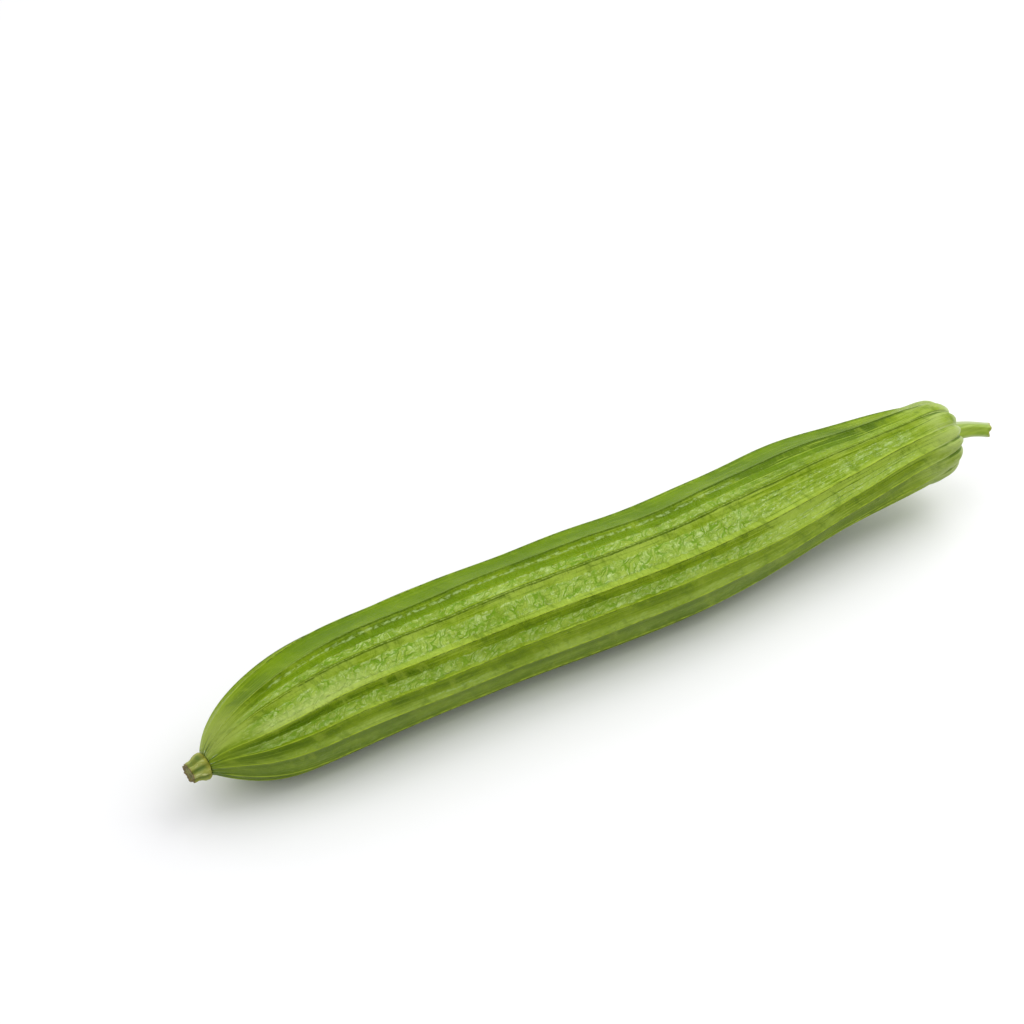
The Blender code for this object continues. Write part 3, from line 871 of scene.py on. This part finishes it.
    # low pale seams that run along a few panels, dashed with painted glints, and the finest specks
    seam_glints = 0.0
    for place, start, stop in PALE_GLINT_SEAMS:
        off = skin.added(rib, skin.times(wander, 0.10), skin.times(curl, 0.05), -place)
        there = skin.span(along, start, start + SEAM_FADE, stop - SEAM_FADE, stop)
        seam_glints = skin.most(seam_glints, skin.times(skin.stripe(off, 0.0, SEAM_HALF_WIDTH), there))
    dotted = skin.between(skin.grain(flat, 6.0, 3.0, 0.6, (0.6, 1.0, 1.0)), 0.42, 0.60)
    seam_glints = skin.times(seam_glints, dotted)
    skin.paint(SEAM_GLINT_PALE, seam_glints, 0.6)
    speck = skin.swing(skin.place(), 1100.0, 2.0, 0.6)
    skin.paint(SPECK_PALE, skin.between(speck, 0.14, 0.28, 0.0, 0.2))

    # wax is smoother where glints and seams are painted; pads swell, streaks and clouds lift a
    # little, rib lines sink in
    skin.let("Specular IOR Level", SHEEN_LEVEL)
    skin.let("Specular Tint", SHEEN_TINT)
    roughness = skin.added(
        0.42, skin.times(cloud, 0.4), skin.times(skin.most(wax_glints, seam_glints), -0.2))
    swollen = skin.added(
        skin.between(ragged, -0.03, 0.08), skin.between(edge, 0.0, 0.35),
        skin.between(small_edge, 0.0, 0.4, 0.0, 0.3))
    bumps = skin.relief(skin.times(swollen, fold), 0.00028, 0.8)
    bumps = skin.relief(cloud, 0.00030, 1.0, bumps)
    bumps = skin.relief(streak, 0.0007, 0.5, bumps)
    bumps = skin.relief(skin.less(1.0, line), 0.0002, 1.0, bumps)
    return skin.done(roughness, bumps)


fruit.data.materials.append(skin_material())
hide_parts("fruit")


# The stalk that the fruit hung from, cut off short: green, juicy and five-sided, flared where
# it grows out of the fruit. Its cut end has dried a little and turned yellow at the rim.

# Droop and swing are in degrees, angles about the axis in radians
STALK_LENGTH = 0.0222
STALK_BASE_RADIUS = 0.0049
STALK_WAIST_RADIUS = 0.0036
STALK_TIP_RADIUS = 0.0030
STALK_FLARE_POWER = 2.3
STALK_RIM_FLARE = 0.00015
STALK_RIM_FROM = 0.9
STALK_FLUTES = 5
STALK_FLUTE_DEPTH = 0.08
STALK_SMALL_FLUTES = 0.012
STALK_UNEVENNESS = 0.012
STALK_UNEVEN_LENGTH = 0.004
STALK_DROOP = 18.0
STALK_SWING = 19.0
STALK_RAGGEDNESS = 0.0005
STALK_CUT_SINK = 0.0004
STALK_CUT_STEPS = (0.9, 0.6, 0.3)
STALK_NOTCH_DEPTH = 0.0007
STALK_NOTCH_ANGLE = 1.9
STALK_NOTCH_WIDTH = 0.3
SHEEN_SIDE_ANGLE = 0.7
STALK_SIDES = 60
STALK_RINGS = 60
GAP = 0.0003


def bend(mesh, ring_of, profile, start, headings, droop, swing, swell):
    """Lays a turned piece from start along headings[0], drooping, swinging and swelling."""
    ahead, sideways, upward = headings
    fall, aside = math.tan(math.radians(droop)), math.tan(math.radians(swing))
    length = max(along for along, _ in profile)
    reach_of = mesh.verts.layers.float.new("reach")
    for vertex in mesh.verts:
        along, radius = profile[vertex[ring_of]]
        share, angle = along / length, turn_of(vertex)
        vertex[reach_of] = share
        along, radius = swell(along, radius, angle, share, vertex[ring_of])
        share = along / length
        heading = (ahead - fall * share * upward - aside * share * sideways).normalized()
        across = upward.cross(heading).normalized()
        over = heading.cross(across)
        centre = start + along * (ahead - 0.5 * share * (fall * upward + aside * sideways))
        vertex.co = centre - radius * (math.cos(angle) * over + math.sin(angle) * across)


def round_noise(first, angle, size):
    """Noise round a piece, the same again after a whole turn; first sets it apart."""
    return noise(Vector((first, size * math.cos(angle), size * math.sin(angle))))


def stalk_swell(along, radius, angle, share, ring):
    """Flutes and unevenness of the stalk, and the ragged, notched rim of its cut end."""
    flute = STALK_FLUTE_DEPTH * math.cos(STALK_FLUTES * angle)
    small = STALK_SMALL_FLUTES * (1.0 - share)
    flute += small * math.cos(2.0 * STALK_FLUTES * angle + 1.0)
    radius *= 1.0 + flute + STALK_UNEVENNESS * round_noise(along / STALK_UNEVEN_LENGTH, angle, 2.0)
    if share > STALK_RIM_FROM:
        notch = STALK_NOTCH_DEPTH * bump_at(angle, STALK_NOTCH_ANGLE, STALK_NOTCH_WIDTH)
        ragged = STALK_RAGGEDNESS * round_noise(9.0, angle, 1.3)
        along += (share - STALK_RIM_FROM) / (1.0 - STALK_RIM_FROM) * (ragged - notch)
    return along, radius


def make_stalk():
    """Turns the stalk, narrowing from its flared foot, and lets it droop towards its cut end."""
    profile = []
    for ring in range(STALK_RINGS + 1):
        share = ring / STALK_RINGS
        flare = (STALK_BASE_RADIUS - STALK_WAIST_RADIUS) * (1.0 - share) ** STALK_FLARE_POWER
        radius = STALK_WAIST_RADIUS + flare - (STALK_WAIST_RADIUS - STALK_TIP_RADIUS) * share
        radius += STALK_RIM_FLARE * rise(share, STALK_RIM_FROM, 1.0 - STALK_RIM_FROM)
        profile.append((STALK_LENGTH * share, radius))
    for step in STALK_CUT_STEPS:
        profile.append((STALK_LENGTH - STALK_CUT_SINK * (1.0 - step), STALK_TIP_RADIUS * step))
    mesh, ring_of = turned(profile, STALK_SIDES)
    sheen_side_of = mesh.verts.layers.float.new("sheen_side")
    # a painted sheen on the two sides that the camera sees edge-on
    for vertex in mesh.verts:
        vertex[sheen_side_of] = abs(math.cos(turn_of(vertex) - SHEEN_SIDE_ANGLE)) ** 3
    centre, direction, sideways, upward = centre_frame(FRUIT_LENGTH - DIMPLE_DEPTH)
    headings = (direction, sideways, upward)
    start = centre + GAP * direction
    bend(mesh, ring_of, profile, start, headings, STALK_DROOP, STALK_SWING, stalk_swell)
    return closed(mesh)


STALK_GREEN, STALK_STREAK, STALK_CLOUD = (122, 150, 14), (150, 175, 44), (130, 158, 12)
STALK_SHEEN_SIDE, STALK_FOOT, STALK_RIM = (172, 185, 136), (190, 200, 158), (160, 150, 50)


def stalk_material():
    """Streaked green, with a painted sheen on the two sides seen edge-on, paler at the foot, yellow
    at the cut rim.
    """
    green = Shading("fresh_stalk", STALK_GREEN)
    here, reach = green.place(), green.attribute("reach")
    streak = green.grain(here, 900.0, 3.0, 0.6, (0.08, 1.0, 1.0))
    cloud = green.grain(here, 260.0, 2.0, 0.5, (0.4, 1.0, 1.0))
    green.paint(STALK_STREAK, green.between(streak, 0.35, 0.65))
    green.paint(STALK_CLOUD, green.between(cloud, 0.4, 0.7, 0.0, 0.5))
    green.paint(STALK_SHEEN_SIDE, green.between(green.attribute("sheen_side"), 0.2, 0.9, 0.0, 0.9))
    green.paint(STALK_FOOT, green.between(reach, 0.22, 0.03, 0.0, 0.8))
    green.paint(STALK_RIM, green.between(reach, 0.95, 1.0, 0.0, 0.7))
    roughness = green.between(cloud, 0.3, 0.7, 0.42, 0.58)
    return green.done(roughness, green.relief(streak, 0.0002, 0.5))


stalk = finish("stalk_stem", make_stalk(), SHIFT)
stalk.data.materials.append(stalk_material())
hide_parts("stalk")


# The dried remains of the flower: a short fluted stub at the neck, yellowing and turning brown
# where the petals fell off. Its cut face is sunk inside a ragged rim.
STUB_LENGTH = 0.0076
STUB_BASE_RADIUS = 0.0043
STUB_BULGE_RADIUS = 0.0053
STUB_BULGE_PLACE = 0.25
STUB_TIP_RADIUS = 0.0038
STUB_FLUTES = 7
STUB_FLUTE_DEPTH = 0.11
STUB_FLUTE_WANDER = 0.16
STUB_FOOT_LOBES = 0.0004
STUB_FOOT = 0.2
STUB_UNEVENNESS = 0.05
STUB_UNEVEN_LENGTH = 0.0016
STUB_DROOP = 6.0
STUB_SWING = 4.0
STUB_CUT_SLANT = 0.15
STUB_CUT_TURN = 2.28
STUB_CUT_FROM = 0.4
STUB_RIM_FROM = 0.75
STUB_RAGGEDNESS = 0.0005
# The sunk face: shares of its depth and of the tip's radius, from the rim in to the middle
PITH_DEPTH = 0.0007
PITH_STEPS = ((0.0, 0.92), (0.3, 0.80), (1.0, 0.62), (0.8, 0.4), (0.6, 0.15))
PITH_RINGS = 1.5
RIM_RINGS = 3.0
STUB_SIDES = 140
STUB_RINGS = 44


def stub_swell(along, radius, angle, share, ring):
    """Flutes of the stub, sharper outside than in, its lobed foot and its ragged slanting cut."""
    place = Vector((3.0 + 1.5 * math.cos(angle), 1.5 * math.sin(angle), 0.5 * share))
    wave = math.cos(STUB_FLUTES * (angle + STUB_FLUTE_WANDER * noise(place)))
    if ring <= STUB_RINGS:
        radius *= 1.0 + STUB_FLUTE_DEPTH * (1.25 * wave - 0.45 * wave * wave + 0.2)
        radius *= 1.0 + STUB_UNEVENNESS * round_noise(along / STUB_UNEVEN_LENGTH, angle, 3.0)
        along += STUB_FOOT_LOBES * wave * (1.0 - ease(share / STUB_FOOT))
    slant = STUB_CUT_SLANT * radius * math.cos(angle + STUB_CUT_TURN)
    along -= slant * rise(share, STUB_CUT_FROM, 1.0 - STUB_CUT_FROM)
    if share > STUB_RIM_FROM:
        ragged = STUB_RAGGEDNESS * round_noise(20.0, angle, 3.2)
        along += ragged * (share - STUB_RIM_FROM) / (1.0 - STUB_RIM_FROM)
    return along, radius


def make_stub():
    """Turns the stub, bulging near its foot, with its sunk face, and tips it a little down."""
    profile = []
    for ring in range(STUB_RINGS + 1):
        share = ring / STUB_RINGS
        past_bulge = min(share - STUB_BULGE_PLACE, 0.5)
        bulge = (STUB_BULGE_RADIUS - STUB_BASE_RADIUS) * math.cos(math.pi * past_bulge) ** 2
        radius = STUB_BASE_RADIUS + (STUB_TIP_RADIUS - STUB_BASE_RADIUS) * share + bulge
        profile.append((STUB_LENGTH * share, radius))
    for sunk, inward in PITH_STEPS:
        profile.append((STUB_LENGTH - sunk * PITH_DEPTH, STUB_TIP_RADIUS * inward))
    mesh, ring_of = turned(profile, STUB_SIDES)
    flute_of, rim_of, pith_of = [
        mesh.verts.layers.float.new(name) for name in ("flute", "rim", "pith")
    ]
    rim_ring = STUB_RINGS + 0.5
    for vertex in mesh.verts:
        vertex[flute_of] = math.cos(STUB_FLUTES * turn_of(vertex))
        vertex[rim_of] = bump_at(vertex[ring_of], rim_ring, RIM_RINGS)
        vertex[pith_of] = rise(vertex[ring_of], rim_ring, PITH_RINGS)
    centre, direction, sideways, upward = centre_frame(0.0)
    headings = (-direction, -sideways, upward)
    start = centre - GAP * direction
    bend(mesh, ring_of, profile, start, headings, STUB_DROOP, STUB_SWING, stub_swell)
    return closed(mesh)


STUB_HOLLOW, STUB_GREEN, STUB_OLIVE = (96, 118, 26), (142, 152, 58), (140, 142, 34)
STUB_CREST_GLINT, STUB_FOOT_YELLOW, STUB_TIP_BROWN = (196, 200, 134), (164, 158, 42), (120, 104, 40)
PITH_DARK, PITH_LIGHT, RIM_BROWN = (84, 80, 32), (128, 128, 66), (98, 72, 26)


def stub_material():
    """Darker in the grooves, partly painted shade; green flutes with painted cream glints on their
    crests; yellow foot, brown rim.
    """
    dry = Shading("dried_flower", STUB_HOLLOW)
    here, reach = dry.place(), dry.attribute("reach")
    cloud = dry.grain(here, 420.0, 3.0, 0.6)
    streak = dry.grain(here, 700.0, 3.0, 0.6, (0.3, 1.0, 1.0))
    shaken = dry.added(dry.attribute("flute"), dry.times(dry.swing(here, 300.0, 3.0, 0.6), 2.2))
    # darker in the grooves, partly as painted shade
    dry.paint(STUB_GREEN, dry.between(shaken, -0.8, 0.6))
    dry.paint(STUB_OLIVE, dry.between(cloud, 0.42, 0.7, 0.0, 0.5))
    # painted cream glints on the crests of the flutes
    crest_glint = dry.between(streak, 0.46, 0.66)
    dry.paint(STUB_CREST_GLINT, crest_glint, dry.between(shaken, 0.0, 0.9), 0.75)
    dry.paint(STUB_FOOT_YELLOW, dry.between(reach, 0.30, 0.05, 0.0, 0.5))
    dry.paint(STUB_TIP_BROWN, dry.between(reach, 0.80, 1.0, 0.0, 0.35))
    pith = dry.mix(dry.between(cloud, 0.38, 0.62), seen(*PITH_DARK), seen(*PITH_LIGHT))
    dry.colour = dry.mix(dry.between(dry.attribute("pith"), 0.2, 1.0), dry.colour, pith)
    dry.paint(RIM_BROWN, dry.between(dry.attribute("rim"), 0.45, 0.95, 0.0, 0.8))
    roughness = dry.between(cloud, 0.3, 0.7, 0.45, 0.65)
    return dry.done(roughness, dry.relief(dry.grain(here, 900.0, 4.0, 0.6), 0.0003, 0.8))


stub = finish("flower_stub", make_stub(), SHIFT)
stub.data.materials.append(stub_material())
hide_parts("flower_remains")


# The ground the fruit lies on: a wide smooth white board, very slightly glossy, so that the
# fruit shows faintly in it where it lifts off.
FLOOR_SIZE = 6.0
FLOOR_WHITE = (0.862, 0.862, 0.868, 1.0)
FLOOR_ROUGHNESS = 0.14
FLOOR_IOR = 1.25

floor_mesh = bmesh.new()
bmesh.ops.create_grid(floor_mesh, x_segments=1, y_segments=1, size=FLOOR_SIZE)
floor_data = bpy.data.meshes.new("floor")
floor_mesh.to_mesh(floor_data)
floor_mesh.free()
floor = linked("floor", floor_data)
board = Shading("white_board")
board.let("Base Color", FLOOR_WHITE)
board.let("Roughness", FLOOR_ROUGHNESS)
board.let("IOR", FLOOR_IOR)
floor.data.materials.append(board.material)
floor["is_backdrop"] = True


# The studio light, for the picture alone: even white all round, a soft box high on the right
# and a weaker one on the left, both turned to the middle of the fruit.

# Sizes and places in metres, powers in watts
BOX_SIZE = 1.2
BOX_ASIDE, BOX_BEHIND, BOX_HEIGHT = 0.9, 0.1, 0.9
RIGHT_POWER, LEFT_POWER = 10.8, 4.0
STUDIO_WHITE = (0.988, 0.990, 1.0, 1.0)
STUDIO_STRENGTH = 0.78


def stand(name, data, place, heading):
    """Puts a lamp or the camera at this place, looking along the heading."""
    thing = linked(name, data)
    thing.location = place
    thing.rotation_mode = "QUATERNION"
    thing.rotation_quaternion = heading.to_track_quat("-Z", "Y")
    return thing


def soft_box(name, place, power):
    """A square soft light at this place, turned to the middle of the fruit."""
    light = bpy.data.lights.new(name, "AREA")
    light.shape = "SQUARE"
    light.size = BOX_SIZE
    light.energy = power
    stand(name, light, place, -Vector(place))


soft_box("right_hand", (BOX_ASIDE, BOX_BEHIND, BOX_HEIGHT), RIGHT_POWER)
soft_box("left_hand", (-BOX_ASIDE, BOX_BEHIND, BOX_HEIGHT), LEFT_POWER)
world = bpy.data.worlds.new("studio")
world.use_nodes = True
world.node_tree.nodes["Background"].inputs["Color"].default_value = STUDIO_WHITE
world.node_tree.nodes["Background"].inputs["Strength"].default_value = STUDIO_STRENGTH
bpy.context.scene.world = world
bpy.context.scene.view_settings.view_transform = "Standard"


# The camera stands where the photographer stood: in front, looking down on the fruit, which
# lies slantwise across the picture.

# Lift and turn in degrees, distance in metres, lens and sensor in millimetres
CAMERA_LIFT = 36.0
CAMERA_TURN = -32.61
CAMERA_AIM = Vector((0.0109, 0.0897, 0.0))
CAMERA_DISTANCE = 1.4
CAMERA_LENS = 113.18
CAMERA_SENSOR = 36.0

lift, turn = math.radians(CAMERA_LIFT), math.radians(CAMERA_TURN)
back = Vector((math.sin(turn) * math.cos(lift), -math.cos(turn) * math.cos(lift), math.sin(lift)))
camera_data = bpy.data.cameras.new("camera")
camera_data.lens = CAMERA_LENS
camera_data.sensor_width = CAMERA_SENSOR
camera_place = CAMERA_AIM + back * CAMERA_DISTANCE
bpy.context.scene.camera = stand("camera", camera_data, camera_place, -back)

low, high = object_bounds()
